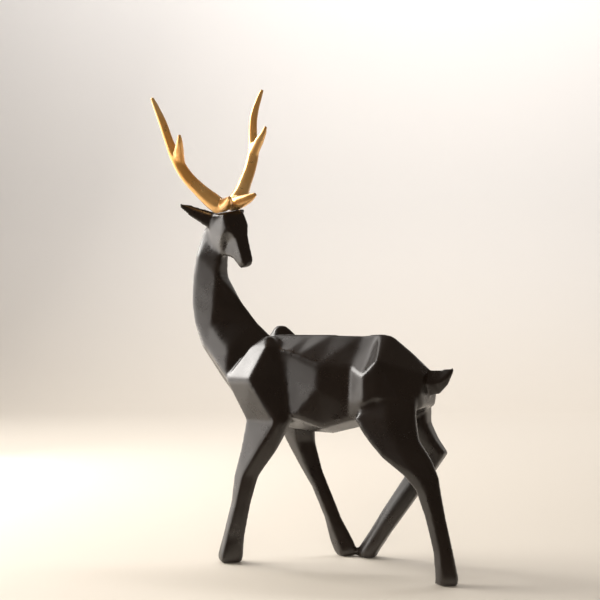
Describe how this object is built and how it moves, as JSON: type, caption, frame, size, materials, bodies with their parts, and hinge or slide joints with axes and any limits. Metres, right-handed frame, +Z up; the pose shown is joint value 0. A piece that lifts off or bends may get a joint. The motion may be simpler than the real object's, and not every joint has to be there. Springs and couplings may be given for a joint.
{
  "type": "deer figurine",
  "caption": "Faceted standing deer figurine in satin black with metallic gold antlers, its head turned back over its shoulder.",
  "frame": {"origin": "on the ground the hooves stand on, under the middle of the whole figurine's box", "axes": "+Z up, the deer faces -X and its left side faces -Y"},
  "size_m": [0.2432, 0.1142, 0.392],
  "materials": {
    "black_paint": "satin black paint on cast resin",
    "gold_paint": "metallic gold paint, glossy"
  },
  "bodies": {
    "root": {"deer_body": "black_paint", "antler_right": "gold_paint", "antler_left": "gold_paint"}
  },
  "joints": []
}
